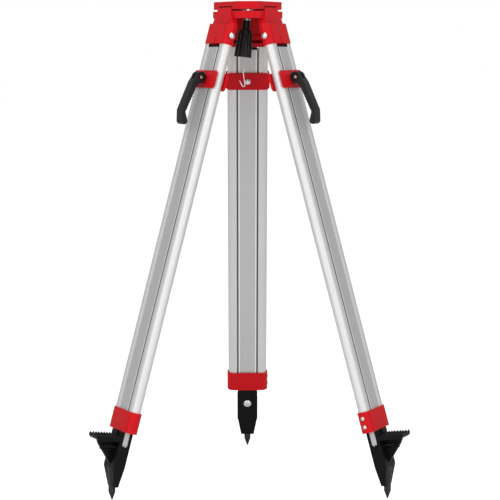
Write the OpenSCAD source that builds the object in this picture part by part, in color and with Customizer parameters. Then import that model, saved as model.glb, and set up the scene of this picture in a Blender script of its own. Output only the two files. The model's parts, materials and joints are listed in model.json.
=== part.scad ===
// Surveyor tripod: flat head with a sliding fixing screw, and three twin-rail legs that draw out.
// Origin at the centre of the head's flat top face, +Z up. Millimetres.
// A leg piece is drawn in its leg's own axes: X outwards from the leg's face, Y across it,
// Z up along it, with zero at the hinge bolt. So a place "down the leg" has a negative Z.

/* [Stance] */
// Height of the head's top face above the ground, with the legs closed up
stand_h = 1100; // [950:1:1400]
// Tilt of each leg from the vertical
leg_tilt = 16.3; // [14:0.1:19]

/* [Head] */
// From the centre to the long face over each leg
head_face = 58.5; // [56:0.5:72]
// From the centre to the short face between two legs
corner_face = 74.4; // [70:0.5:88]
// Height of the top plate
plate_t = 17.3; // [16:0.1:21]
// Thickness of the top plate's solid deck
deck_t = 9; // [8:0.1:10]
// Wall of the top plate's skirt
skirt_wall = 5; // [4:0.1:6]
// Gap between the top plate and the head body
plate_gap = 4.1; // [4:0.1:5]
// Height of the head body's plate
body_t = 15.6; // [13:0.1:18]
// How far the head body stands out past the top plate
body_margin = 1.6; // [0:0.1:3]
// Radius of the round opening in the top plate
seat_hole_r = 31; // [30.5:0.1:34]
// Radius of the round opening in the head body
body_hole_r = 33; // [31:0.1:35]

/* [Hinge] */
// From the centre to each hinge bolt
hinge_r = 70; // [68:0.5:84]
// From the top face down to each hinge bolt
hinge_drop = 76; // [74:0.5:86]
// Radius of the hinge bolt
hinge_bolt_r = 4; // [3.5:0.1:5]
// Radius of the lug's round knuckle
knuckle_r = 11; // [9:0.1:11.5]
// Half the lug's width at its top
lug_top_half = 27; // [24:0.5:29]
// Half the lug's width where it meets the shoulder
lug_foot_half = 45; // [42:0.5:47]
// Shoulder's reach above the hinge bolt
shoulder_up = 23.5; // [22:0.1:26]
// Shoulder's reach below the hinge bolt
shoulder_down = 21.5; // [20:0.1:28]

/* [Rails] */
// Width of a rail across the leg
rail_w = 21.9; // [19:0.1:25]
// Depth of a rail, front to back
rail_d = 24.8; // [24.6:0.1:28]
// Wall of a rail
rail_wall = 1.6; // [1.2:0.1:2]
// From the hinge bolt down to the top of the rails
rail_top = 14.6; // [14.4:0.1:16]

/* [Inner leg] */
// Width of the inner leg's panel
panel_w = 44; // [40:0.5:52]
// Depth of the inner leg's panel
panel_d = 22.8; // [19:0.1:22.9]
// Gap between the panel and each rail
panel_gap = 3; // [2:0.1:4]
// Height of the bright lip along each edge of the panel
lip_h = 0.8; // [0.4:0.1:1]
// From the hinge bolt down to the top of the inner leg
inner_top = 29; // [28:0.5:40]

/* [Clamp] */
// From the hinge bolt down to the clamp's bolt
clamp_drop = 104; // [95:0.5:140]
// Height of a clamp plate along the leg
clamp_h = 40; // [34:0.5:50]
// Thickness of a clamp plate
clamp_t = 3.2; // [2.8:0.1:5]
// Radius of the clamp's bolt
clamp_bolt_r = 4; // [3:0.1:4.5]
// Radius of the lever's pin
lever_pin_r = 3; // [2.5:0.1:3.5]
// Radius of the lever's round hub
hub_r = 12.9; // [12:0.1:14]
// Width of the lever
lever_w = 24; // [20:0.5:28]

/* [Collar and foot] */
// Height of the collar along the leg
collar_h = 46.9; // [36:0.1:54]
// Wall of the collar over the rails
collar_wall = 3; // [2.4:0.1:4]
// From the collar's lower edge to the tip of the spike, along the leg
foot_reach = 155.2; // [150:0.1:180]
// Width of the foot's block
foot_w = 48.6; // [48:0.1:60]
// Radius of the ground spike
spike_r = 7.8; // [6:0.05:8]
// How far the treadle stands out from the leg's middle
treadle_reach = 71; // [60:0.5:85]

/* [Fixing screw] */
// Radius of the fixing screw: a 5/8 inch thread
screw_r = 7.94; // [7.5:0.01:8]
// How far the screw leans where it hangs
screw_lean = 6.5; // [0:0.5:8]
// Radius of the knob at its lower end
knob_r = 20; // [17:0.5:22]
// Length of the knob's fluted part
knob_h = 60; // [50:0.5:70]

/* [Hidden] */
$fn = 64;
SIDES = [["left", 210], ["right", 330], ["rear", 90]];
LEG_PIECES = ["shoulder", "rail_a", "rail_b", "collar", "collar_rivets", "inner_leg",
    "top_cap", "clamp_inner_plate", "clamp_outer_plate", "clamp_bolt", "clamp_lever",
    "lever_pin", "foot", "foot_rivet", "spike"];
HEAD_PIECES = ["head_plate", "head_body", "head_spacers", "plate_screws", "arm_pivot",
    "hinge_bolts", "hinge_nuts", "swing_arm", "screw_carrier", "ball_bush", "screw_washer",
    "instrument_screw", "screw_knob", "hook_chain", "plumb_hook"];

eps = 0.01;
over = 1; // cutters run this far past a face
gap = 0.3; // between pieces that move past each other
running = 0.05; // radial clearance of a turning bolt or pin
red = [0.82, 0.11, 0.13];
silver = [0.78, 0.78, 0.77];
black = [0.1, 0.1, 0.11];
zinc = [0.72, 0.76, 0.76];
steel = [0.35, 0.35, 0.36];

// Head levels, down from the top face
body_top = plate_t + plate_gap;
body_low = body_top + body_t;
lug_top = plate_t - 4.3; // the lug's top stands in a notch of the skirt
notch_top = lug_top - 2.5;
notch_half = lug_top_half + 2;
bolt_head_r = 6.8;
pad_r = 4.7;
pad_n = head_face - 7.5;
pad_t = notch_half + 7;
plate_screw_r = 2.5;
countersink = 2.6; // depth of a plate screw's cone
sunk = 0.3; // the screw heads lie this far below the seat

// The lug and the shoulder's fork around it
shoulder_half_d = rail_d / 2 + 2.35;
shoulder_half_w = panel_w / 2 + panel_gap + rail_w + 1.1;
front_wall = 2.25;
cheek_t = 9.7;
fork_half = shoulder_half_w - cheek_t;
lug_half = fork_half - 0.4;
lug_front = shoulder_half_d - front_wall - 5;
lug_back = 8;
tower_back = 2.5; // above the head body's plate the lug is thinner
fork_floor = knuckle_r + 2; // below the bolt the shoulder is solid across
shoulder_arc = norm([shoulder_up, shoulder_half_d]);

// Rails and inner leg
rail_in = panel_w / 2 + panel_gap;
rail_out = rail_in + rail_w;
rail_round = rail_d / 2;
rail_corner = 2.5;
tongue_half = 2.7;
slot_half = tongue_half + 0.5;
tongue_tip = rail_in + 4;
lip_w = 3.5;
panel_wall = 1.6;
tenon_in = tongue_tip + 1.5;

// Ground end: places down the leg, worked out from the standing height
spike_inset = 15; // the spike's tip lies this far behind the leg's middle
tip_down = (stand_h - hinge_drop - spike_inset * sin(leg_tilt)) / cos(leg_tilt);
collar_end = tip_down - foot_reach;
collar_start = collar_end - collar_h;
rail_end = collar_end - 4.6;
foot_top = collar_end + 0.6;
block_end = tip_down - 70.5;
foot_end = tip_down - 28.5;
inner_end = foot_top + 54;
foot_rivet_down = inner_end - 16.3;
treadle_top = foot_top + 13.2;
tongue_end = collar_end - 1.6;
foot_half_out = rail_round + 1.8;
foot_half_in = rail_round + 1.7;

// Clamp
plate_in = rail_d / 2 + gap;
plate_out = plate_in + clamp_t;
clamp_half_w = shoulder_half_w + 3;
cam_shift = 0.5; // the hub is a little off its pin, so the lever grips when it is shut
pin_n = plate_out + gap + hub_r + cam_shift;
eye_half = clamp_bolt_r + 0.5;
eye_r = lever_pin_r + 4;

// Fixing screw, measured along its own axis from the ball's centre
arm_t = 3;
arm_top = plate_t + 0.6;
ball_down = arm_top + arm_t / 2;
arm_pivot_y = seat_hole_r + 10;
arm_pivot_r = 3;
carrier_travel = 12;
carrier_bore = screw_r + 1.46;
web_half = carrier_bore + 1.6;
flange_r = web_half + 3.8;
ball_r = 12;
bush_low = 4;
bush_high = 7.5;
clip_t = 1.5;
stud_top = ball_down - 1;
washer_top = -17.6;
washer_t = 4;
undercut_r = 6;
knob_top = washer_top - washer_t - gap;
flute_top = knob_top - 22.7;
knob_low = flute_top - knob_h;
chain_pitch = 4.2;
link_r = 2.7;
link_wire = 0.55;
bar_r = 1; // the bar across the knob's end that the chain hangs from
bar_up = 4; // the bar's height inside the knob's end
first_link = link_r - link_wire - bar_r - 0.05;
links = 8;
hook_wire = 1.4;
eye_ring = 3.4;
eye_slack = 0.62; // the eye's wire lies this far below the last link's centre
hook_drop = first_link + (links - 1) * chain_pitch + eye_slack + eye_ring;

// A leg's own axes, for the leg that points along +X
module in_leg_axes() {
    translate([hinge_r, 0, -hinge_drop]) rotate([0, -leg_tilt, 0]) children();
}

module at_leg(az) {
    rotate([0, 0, az]) in_leg_axes() children();
}

// A shape whose outline is drawn in X and Z, made as wide as w across Y
module across(w) {
    rotate([90, 0, 0]) linear_extrude(w, center = true) children();
}

// A round rod along Y from one place to another
module cross_rod(r, from, to) {
    translate([0, from, 0]) rotate([-90, 0, 0]) cylinder(r = r, h = to - from);
}

// A round rod along X from one place to another
module out_rod(r, from, to) {
    translate([from, 0, 0]) rotate([0, 90, 0]) cylinder(r = r, h = to - from);
}

// A flat-bottomed dome on z = 0
module dome(r, h) {
    ball = (r * r + h * h) / (2 * h);
    intersection() {
        translate([0, 0, h - ball]) sphere(ball);
        cylinder(r = r + over, h = h + over);
    }
}

// Everything on the far side of the plane through three points
module beyond(a, b, c) {
    size = 200;
    n = cross(b - a, c - a);
    translate(a) rotate([0, acos(n[2] / norm(n)), atan2(n[1], n[0])])
        translate([-size / 2, -size / 2, 0]) cube(size);
}

// A leg piece's outline in X and Y, drawn from one place down the leg to another
module along_leg(from, to) {
    translate([0, 0, -to]) linear_extrude(to - from) children();
}

module stadium(half_d, half_w) {
    square([2 * half_d, 2 * (half_w - half_d)], center = true);
    for (s = [-1, 1]) translate([0, s * (half_w - half_d)]) circle(half_d);
}

// ---- head ----

module hexagon(margin) {
    long_face = head_face + margin;
    half = (corner_face + margin - long_face / 2) / sin(60);
    polygon([for (s = SIDES) for (e = [-1, 1])
        [long_face * cos(s[1]) - e * half * sin(s[1]), long_face * sin(s[1]) + e * half * cos(s[1])]]);
}

module at_pads() {
    for (s = SIDES) for (e = [-1, 1]) rotate([0, 0, s[1]]) translate([pad_n, e * pad_t, 0]) children();
}

module head_plate() {
    hub_r = seat_hole_r + 4.5;
    rib_t = 4;
    boss_r = 6.4;
    pivot_boss_r = 6.5;
    color(red) difference() {
        union() {
            translate([0, 0, -deck_t]) linear_extrude(deck_t) hexagon(0);
            translate([0, 0, -plate_t]) linear_extrude(plate_t) difference() {
                hexagon(0);
                hexagon(-skirt_wall);
            }
            translate([0, 0, -plate_t]) cylinder(r = hub_r, h = plate_t);
            translate([0, arm_pivot_y, -plate_t]) cylinder(r = pivot_boss_r, h = plate_t);
            translate([0, 0, -plate_t]) at_pads() cylinder(r = boss_r, h = plate_t);
            for (s = SIDES) rotate([0, 0, s[1] + 60])
                translate([hub_r - over, -rib_t / 2, -plate_t])
                    cube([corner_face - skirt_wall - hub_r + 2 * over, rib_t, plate_t]);
        }
        translate([0, 0, -plate_t - over]) cylinder(r = seat_hole_r, h = plate_t + 2 * over);
        for (s = SIDES) rotate([0, 0, s[1]])
            translate([hub_r + 9, -notch_half, -plate_t - over])
                cube([head_face, 2 * notch_half, plate_t - notch_top + over]);
        at_pads() {
            translate([0, 0, -plate_t - over]) cylinder(r = plate_screw_r, h = plate_t + 2 * over);
            translate([0, 0, -countersink - sunk])
                cylinder(r1 = plate_screw_r, r2 = 2 * plate_screw_r, h = countersink);
            translate([0, 0, -sunk]) cylinder(r = 2 * plate_screw_r, h = over);
        }
        translate([0, arm_pivot_y, -plate_t - over]) cylinder(r = arm_pivot_r, h = plate_t - deck_t + over);
    }
}

module head_spacers() {
    color(black) at_pads() translate([0, 0, -body_top]) difference() {
        cylinder(r = pad_r, h = plate_gap);
        translate([0, 0, -over]) cylinder(r = plate_screw_r, h = plate_gap + 2 * over);
    }
}

module plate_screws() {
    socket_r = 1.9;
    grip = 10; // length that goes into the head body
    color(zinc) at_pads() difference() {
        union() {
            translate([0, 0, -body_top - grip])
                cylinder(r = plate_screw_r, h = body_top + grip - countersink - sunk);
            translate([0, 0, -countersink - sunk])
                cylinder(r1 = plate_screw_r, r2 = 2 * plate_screw_r, h = countersink);
        }
        translate([0, 0, -countersink]) cylinder(r = socket_r, h = countersink, $fn = 6);
    }
}

// The lug's side shape: a straight arm from the knuckle up into the head
module lug_side() {
    up = hinge_drop;
    step_up = (hinge_drop - body_low + 5) / cos(leg_tilt);
    polygon([[lug_front, 0], [lug_front, up], [-tower_back, up], [-tower_back, step_up + 8],
        [-lug_back, step_up - 2], [-lug_back, 0]]);
}

// The lug's front shape in the leg's plane, widening downwards
module lug_front_shape(half_limit) {
    full_z = -hinge_drop + shoulder_up;
    slope = (lug_foot_half - lug_top_half) / (hinge_drop - shoulder_up - lug_top);
    wide_z = -lug_top - (half_limit - lug_top_half) / slope;
    low = max(full_z, wide_z);
    half_low = lug_top_half + (-lug_top - low) * slope;
    rotate([90, 0, 90]) linear_extrude(hinge_r + 60)
        polygon([[-lug_top_half, -lug_top], [lug_top_half, -lug_top], [half_low, low],
            [half_low, -hinge_drop - 30], [-half_low, -hinge_drop - 30], [-half_low, low]]);
}

module lug() {
    sleeve = shoulder_arc + 0.5;
    facet_top = -body_top - 4;
    facet_low = -hinge_drop + shoulder_up;
    facet_w = 28;
    facet_d = 3.5;
    front_r_top = hinge_r - (hinge_drop + facet_top) * tan(leg_tilt) + lug_front / cos(leg_tilt);
    front_r_low = hinge_r - (hinge_drop + facet_low) * tan(leg_tilt) + lug_front / cos(leg_tilt);
    difference() {
        union() {
            intersection() {
                lug_front_shape(lug_half);
                in_leg_axes() across(2 * lug_half) lug_side();
            }
            difference() {
                intersection() {
                    lug_front_shape(lug_foot_half);
                    in_leg_axes() across(2 * lug_foot_half) lug_side();
                }
                translate([hinge_r, 0, -hinge_drop]) cross_rod(sleeve, -shoulder_half_w, shoulder_half_w);
            }
            translate([hinge_r, 0, -hinge_drop]) cross_rod(knuckle_r, -lug_half, lug_half);
        }
        translate([hinge_r, 0, -hinge_drop]) cross_rod(hinge_bolt_r, -lug_half - over, lug_half + over);
        // a slanting facet takes the corner off each side, from nothing up at the plate
        for (e = [0, 1]) mirror([0, e, 0]) intersection() {
            beyond([front_r_top, lug_top_half + 6, facet_top],
                [front_r_low, lug_foot_half - facet_w, facet_low],
                [front_r_low - facet_d, lug_foot_half, facet_low]);
            in_leg_axes() translate([-lug_back - over, 0, knuckle_r + 1.5])
                cube([hinge_r, lug_foot_half + 10, hinge_r]);
        }
    }
}

module head_body() {
    floor_t = 6;
    wall = 5;
    hub = body_hole_r + 12;
    color(red) difference() {
        union() {
            difference() {
                translate([0, 0, -body_low]) linear_extrude(body_t) hexagon(body_margin);
                // pockets under the short faces
                for (s = SIDES) intersection() {
                    translate([0, 0, -body_low - over]) linear_extrude(body_t - floor_t + over)
                        hexagon(body_margin - wall);
                    rotate([0, 0, s[1] + 60]) translate([hub, -15, -body_low - over])
                        cube([60, 30, body_t]);
                }
            }
            for (s = SIDES) rotate([0, 0, s[1]]) lug();
        }
        translate([0, 0, -body_low - over]) cylinder(r = body_hole_r, h = body_low);
        translate([0, 0, -body_top - 10]) at_pads() cylinder(r = plate_screw_r, h = 10 + over);
        translate([0, arm_pivot_y, -body_low - over]) cylinder(r = arm_pivot_r, h = body_t + 2 * over);
    }
}

module arm_pivot() {
    head_r = 5.5;
    head_h = 3;
    color(zinc) translate([0, arm_pivot_y, 0]) {
        translate([0, 0, -body_low]) cylinder(r = arm_pivot_r, h = body_low - deck_t - over);
        difference() {
            translate([0, 0, -body_low - head_h]) cylinder(r = head_r, h = head_h);
            translate([0, 0, -body_low - head_h - over]) cylinder(r = 2.9, h = 2 + over, $fn = 6);
        }
    }
}

module hinge_bolts() {
    color(zinc) for (s = SIDES) rotate([0, 0, s[1]]) translate([hinge_r, 0, -hinge_drop]) {
        cross_rod(hinge_bolt_r, -shoulder_half_w - 3, shoulder_half_w + 1.5 + eps);
        translate([0, shoulder_half_w + 1.5, 0]) rotate([-90, 0, 0]) {
            cylinder(r = bolt_head_r, h = 1 + eps);
            translate([0, 0, 1]) dome(bolt_head_r, 3.8);
        }
    }
}

module hinge_nuts() {
    color(zinc) for (s = SIDES) rotate([0, 0, s[1]])
        translate([hinge_r, -shoulder_half_w - 1.5, -hinge_drop]) rotate([90, 0, 0]) difference() {
            union() {
                cylinder(r = bolt_head_r, h = 1 + eps);
                translate([0, 0, 1]) dome(bolt_head_r, 3.8);
            }
            translate([0, 0, -over]) cylinder(r = hinge_bolt_r, h = 1.5 + over);
        }
}

// ---- fixing screw ----

module swing_arm() {
    slot_x = web_half + gap;
    slot_y = web_half + carrier_travel + gap;
    arm_x = slot_x + 5;
    arm_y = slot_y + 5;
    end_r = 6.3;
    tail_x = 5;
    tail_end = 72;
    color(zinc) translate([0, 0, -arm_top - arm_t]) difference() {
        linear_extrude(arm_t) union() {
            intersection() {
                square([2 * arm_x, 2 * arm_y], center = true);
                circle(arm_y + 1);
            }
            translate([0, arm_pivot_y]) circle(end_r);
            translate([-end_r, arm_y - 6]) square([2 * end_r, arm_pivot_y - arm_y + 6]);
            translate([-tail_x, -tail_end + tail_x]) square([2 * tail_x, tail_end - tail_x - arm_y + 6]);
            translate([0, -tail_end + tail_x]) circle(tail_x);
        }
        translate([-slot_x, -slot_y, -over]) cube([2 * slot_x, 2 * slot_y, arm_t + 2 * over]);
        translate([0, arm_pivot_y, -over]) cylinder(r = arm_pivot_r + running, h = arm_t + 2 * over);
    }
}

module screw_carrier() {
    top = ball_down - arm_t / 2 - gap; // depth at which the upper flange starts
    web_t = arm_t + 2 * gap;
    color(zinc) difference() {
        union() {
            translate([0, 0, -top]) cylinder(r = flange_r, h = 4.7);
            intersection() {
                translate([-web_half, -web_half, -top - web_t]) cube([2 * web_half, 2 * web_half, web_t]);
                translate([0, 0, -top - arm_t - over]) cylinder(r = flange_r - 1, h = arm_t + 2 * over);
            }
            translate([0, 0, -top - web_t - 4]) cylinder(r = flange_r, h = 4);
        }
        translate([0, 0, -body_low]) cylinder(r = carrier_bore, h = body_low);
        intersection() {
            translate([0, 0, -ball_down]) sphere(ball_r + gap);
            translate([0, 0, -ball_down + 1.9]) cylinder(r = ball_r + over, h = ball_r);
        }
    }
}

module on_screw() {
    translate([0, 0, -ball_down]) rotate([0, screw_lean, 0]) children();
}

module ball_bush() {
    color(steel) on_screw() difference() {
        intersection() {
            sphere(ball_r);
            translate([0, 0, bush_low]) cylinder(r = ball_r, h = bush_high - bush_low);
        }
        cylinder(r = screw_r + running, h = ball_r);
    }
}

module screw_washer() {
    color(zinc) on_screw() translate([0, 0, washer_top - washer_t]) difference() {
        cylinder(r = screw_r + 0.6, h = washer_t);
        translate([0, 0, -over]) cylinder(r = undercut_r + gap, h = washer_t + 2 * over);
    }
}

module instrument_screw() {
    tail = 40; // length that goes down into the knob
    color(zinc) on_screw() {
        translate([0, 0, washer_top + gap]) cylinder(r = screw_r, h = stud_top - washer_top - gap);
        translate([0, 0, bush_high + gap]) cylinder(r = screw_r + 1.4, h = clip_t);
        translate([0, 0, knob_top - tail])
            cylinder(r = undercut_r, h = washer_top + gap - knob_top + tail + eps);
    }
}

module screw_knob() {
    neck_r = 9.9;
    top_r = 16.2;
    flutes = 12;
    lean_out = atan((knob_r - top_r) / knob_h);
    color(black) on_screw() difference() {
        union() {
            translate([0, 0, flute_top]) cylinder(r1 = neck_r, r2 = screw_r + 0.6, h = knob_top - flute_top);
            translate([0, 0, flute_top - 3]) cylinder(r1 = top_r, r2 = neck_r, h = 4.5);
            translate([0, 0, knob_low]) cylinder(r1 = knob_r, r2 = top_r, h = knob_h - 3 + eps);
        }
        for (i = [0:flutes - 1]) rotate([0, 0, i * 360 / flutes])
            translate([knob_r + 1.2, 0, knob_low - over]) rotate([0, -lean_out, 0])
                cylinder(r = 3, h = knob_h - 2, $fn = 24);
        translate([0, 0, knob_top - 40]) cylinder(r = undercut_r, h = 40 + over);
        difference() {
            translate([0, 0, knob_low - over]) cylinder(r = 8, h = 9 + over);
            translate([0, 0, knob_low + bar_up]) cross_rod(bar_r, -9, 9);
        }
    }
}

module at_hook() {
    bar = knob_low + bar_up;
    translate([bar * sin(screw_lean), 0, -ball_down + bar * cos(screw_lean)]) children();
}

module link() {
    rotate_extrude($fn = 32) translate([link_r, 0]) circle(link_wire, $fn = 16);
}

module hook_chain() {
    color(zinc) at_hook() for (i = [0:links - 1])
        translate([0, 0, -first_link - i * chain_pitch]) rotate([90, 0, i % 2 == 0 ? 0 : 90]) link();
}

module plumb_hook() {
    shank = 29.5;
    bend = 3;
    turn = 160; // how far round the wire bends
    arm = 14;
    lap = 0.1; // the straight wires run this far into the bend
    color(zinc) at_hook() translate([0, 0, -hook_drop]) {
        rotate([90, 0, 0]) rotate_extrude($fn = 48) translate([eye_ring, 0]) circle(hook_wire, $fn = 24);
        translate([0, 0, -eye_ring - shank - lap]) cylinder(r = hook_wire, h = shank + lap);
        translate([-bend, 0, -eye_ring - shank]) {
            rotate([90, 0, 0]) rotate([0, 0, -turn])
                rotate_extrude(angle = turn, $fn = 48) translate([bend, 0]) circle(hook_wire - 0.05, $fn = 24);
            rotate([0, -(180 - turn), 0]) translate([-bend, 0, -lap]) cylinder(r = hook_wire, h = arm);
        }
    }
}

// ---- leg ----

// The rail's outline: flat towards the inner leg with rounded corners, half round outside
module rail_outline(inset) {
    flat = rail_w - rail_round;
    corner = max(rail_corner - inset, 0.5);
    for (e = [0, 1]) mirror([e, 0]) {
        translate([rail_round - inset - corner, rail_in + inset + corner]) circle(corner);
        translate([0, rail_in + inset + corner]) square([rail_round - inset, flat - inset - corner]);
    }
    translate([-rail_round + inset + corner, rail_in + inset])
        square([rail_d - 2 * (inset + corner), flat - inset]);
    intersection() {
        translate([0, rail_in + flat]) circle(rail_round - inset);
        translate([-rail_d, rail_in + flat - eps]) square([2 * rail_d, rail_w]);
    }
}

module shoulder() {
    rib_half = 3.5;
    color(red) difference() {
        union() {
            intersection() {
                along_leg(-shoulder_arc, shoulder_down) stadium(shoulder_half_d, shoulder_half_w);
                cross_rod(shoulder_arc, -shoulder_half_w - over, shoulder_half_w + over);
            }
            cross_rod(8.5, -shoulder_half_w - 1.2, -shoulder_half_w + 2);
            cross_rod(8.5, shoulder_half_w - 2, shoulder_half_w + 1.2);
            translate([shoulder_half_d - over, -rib_half, -shoulder_down + 3.5])
                cube([over + 1.5, 2 * rib_half, 13]);
            for (e = [0, 1]) mirror([0, e, 0]) along_leg(rail_top - over, rail_top + 34) intersection() {
                rail_outline(rail_wall + 0.2);
                translate([-rail_d, tenon_in]) square([2 * rail_d, rail_w]);
            }
        }
        // room for the lug, open at the back so that the leg can fold
        translate([-shoulder_half_d - over, -fork_half, -fork_floor])
            cube([2 * shoulder_half_d - front_wall + over, 2 * fork_half, fork_floor + shoulder_arc + over]);
        for (e = [0, 1]) mirror([0, e, 0]) along_leg(rail_top, shoulder_down + over) difference() {
            rail_outline(0);
            intersection() {
                rail_outline(rail_wall + 0.2);
                translate([-rail_d, tenon_in]) square([2 * rail_d, rail_w]);
            }
        }
        cross_rod(hinge_bolt_r + running, -shoulder_half_w - 2 * over, shoulder_half_w + 2 * over);
        // a hollow between the rails
        along_leg(fork_floor + 3, shoulder_down + over)
            square([2 * shoulder_half_d - 7, 2 * rail_in - 6], center = true);
    }
}

module rail() {
    along_leg(rail_top, rail_end) difference() {
        rail_outline(0);
        rail_outline(rail_wall);
        translate([-slot_half, rail_in - over]) square([2 * slot_half, rail_wall + 2 * over]);
    }
}

module rail_a() {
    color(silver) rail();
}

module rail_b() {
    color(silver) difference() {
        mirror([0, 1, 0]) rail();
        rivet_holes();
    }
}

// Places of the two collar rivets down the leg
function rivet_downs() = [collar_start + collar_h / 2 - 9.5, collar_start + collar_h / 2 + 9.5];

module rivet_holes() {
    for (d = rivet_downs()) translate([0, 0, -d]) cross_rod(2.4, -rail_out - 2 * collar_wall, -rail_out + 6);
}

module collar() {
    half_w = rail_out + collar_wall;
    color(red) difference() {
        along_leg(collar_start, collar_end) difference() {
            stadium(rail_round + collar_wall, half_w);
            for (e = [0, 1]) mirror([0, e]) rail_outline(0);
            square([panel_d + 2 * lip_h + 1, 2 * rail_in + eps], center = true);
        }
        rivet_holes();
    }
}

module collar_rivets() {
    face = rail_out + collar_wall;
    color(zinc) for (d = rivet_downs()) translate([0, 0, -d]) difference() {
        union() {
            cross_rod(2.4, -face - eps, -rail_out + 4);
            translate([0, -face, 0]) rotate([90, 0, 0]) dome(4.5, 1.6);
        }
        cross_rod(1.2, -face - 3, -face + 2);
    }
}

module inner_outline() {
    square([panel_d, panel_w], center = true);
    for (e = [-1, 1]) translate([0, e * (panel_w - lip_w) / 2])
        square([panel_d + 2 * lip_h, lip_w], center = true);
}

module inner_leg() {
    color(silver) difference() {
        union() {
            along_leg(inner_top, inner_end) inner_outline();
            along_leg(inner_top, tongue_end) square([2 * tongue_half, 2 * tongue_tip], center = true);
        }
        along_leg(inner_top - over, inner_end + over)
            square([panel_d - 2 * panel_wall, panel_w - 2 * panel_wall], center = true);
        translate([0, 0, -clamp_drop]) out_rod(clamp_bolt_r, -panel_d, panel_d);
        translate([0, 0, -foot_rivet_down]) out_rod(4, -panel_d, panel_d);
    }
}

module top_cap() {
    color(black) {
        along_leg(inner_top - 4, inner_top) square([panel_d, panel_w], center = true);
        along_leg(inner_top - eps, inner_top + 11)
            square([panel_d - 2 * panel_wall, panel_w - 2 * panel_wall], center = true);
    }
}

module clamp_plate(from) {
    cut = 5.5;
    half_h = clamp_h / 2;
    color(red) difference() {
        translate([from, 0, -clamp_drop]) rotate([90, 0, 90]) linear_extrude(clamp_t)
            polygon([for (a = [1, -1]) for (p = [
                [-clamp_half_w, -half_h + cut], [-clamp_half_w + cut, -half_h],
                [clamp_half_w - cut, -half_h], [clamp_half_w, -half_h + cut]]) a * p]);
        translate([0, 0, -clamp_drop]) out_rod(clamp_bolt_r, from - over, from + clamp_t + over);
    }
}

module clamp_bolt() {
    head_r = 6.75;
    head_h = 4;
    color(zinc) translate([0, 0, -clamp_drop]) difference() {
        union() {
            out_rod(clamp_bolt_r, -plate_out - eps, pin_n);
            translate([-plate_out, 0, 0]) rotate([0, -90, 0]) {
                cylinder(r = head_r, h = 1.5 + eps);
                translate([0, 0, 1.5]) dome(head_r, head_h - 1.5);
            }
            translate([pin_n, 0, 0]) cross_rod(eye_r, -eye_half, eye_half);
        }
        translate([pin_n, 0, 0]) cross_rod(lever_pin_r + running, -eye_half - over, eye_half + over);
    }
}

// The lever's solid body: a hub, a straight arm that slants outwards, and a tip that turns back in
module lever_body() {
    knee = [pin_n + 28, -83];
    knee_in = knee + [-11, -1];
    tip = [pin_n + 14.5, -104];
    tip_r = 8;
    translate([pin_n - cam_shift, 0, 0]) cross_rod(hub_r, -lever_w / 2, lever_w / 2);
    across(lever_w) polygon([[pin_n + 8, 7], [pin_n + 13, -3], [pin_n + 17.5, -15], knee,
        tip + [tip_r * cos(20), -tip_r * sin(20)], tip + [-tip_r * cos(20), tip_r * sin(20)], knee_in,
        [pin_n + 6, -25], [pin_n - 2, -11]]);
    translate([tip[0], 0, tip[1]]) cross_rod(tip_r, -lever_w / 2, lever_w / 2);
}

module clamp_lever() {
    shell = 4;
    color(black) translate([0, 0, -clamp_drop]) difference() {
        lever_body();
        // slot for the bolt's eye, open over the lever's whole travel
        translate([pin_n, 0, 0]) cross_rod(hub_r + 3, -eye_half - gap, eye_half + gap);
        translate([pin_n, 0, 0]) cross_rod(lever_pin_r, -lever_w, lever_w);
        // the arm is a channel, open towards the leg
        across(lever_w - 2 * shell)
            polygon([[pin_n - 1, -29], [pin_n + 16, -27], [pin_n + 23.5, -80], [pin_n + 10, -80]]);
    }
}

module lever_pin() {
    half = lever_w / 2 + 0.5;
    color(zinc) translate([pin_n, 0, -clamp_drop]) cross_rod(lever_pin_r, -half, half);
}

// ---- foot ----

module in_spike_axes() {
    translate([-spike_inset, 0, -tip_down]) rotate([0, leg_tilt, 0]) children();
}

module treadle_outline() {
    teeth = 7;
    pitch = 6.5;
    tooth = 1;
    root = foot_half_out;
    top_root = -treadle_top;
    top_tip = top_root - 7.3;
    first = treadle_reach - teeth * pitch;
    fall = (top_root - top_tip) / (treadle_reach - root);
    polygon(concat([[root - 4, top_root - 10], [root - 4, top_root]],
        [for (i = [0:teeth - 1]) for (q = [0, 1])
            [first + (i + q * 0.62) * pitch, top_root - fall * (first + i * pitch - root) + q * tooth]],
        [[treadle_reach, top_tip], [treadle_reach - 1, top_tip - 4.5], [treadle_reach - 5, top_tip - 8]]));
}

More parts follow.
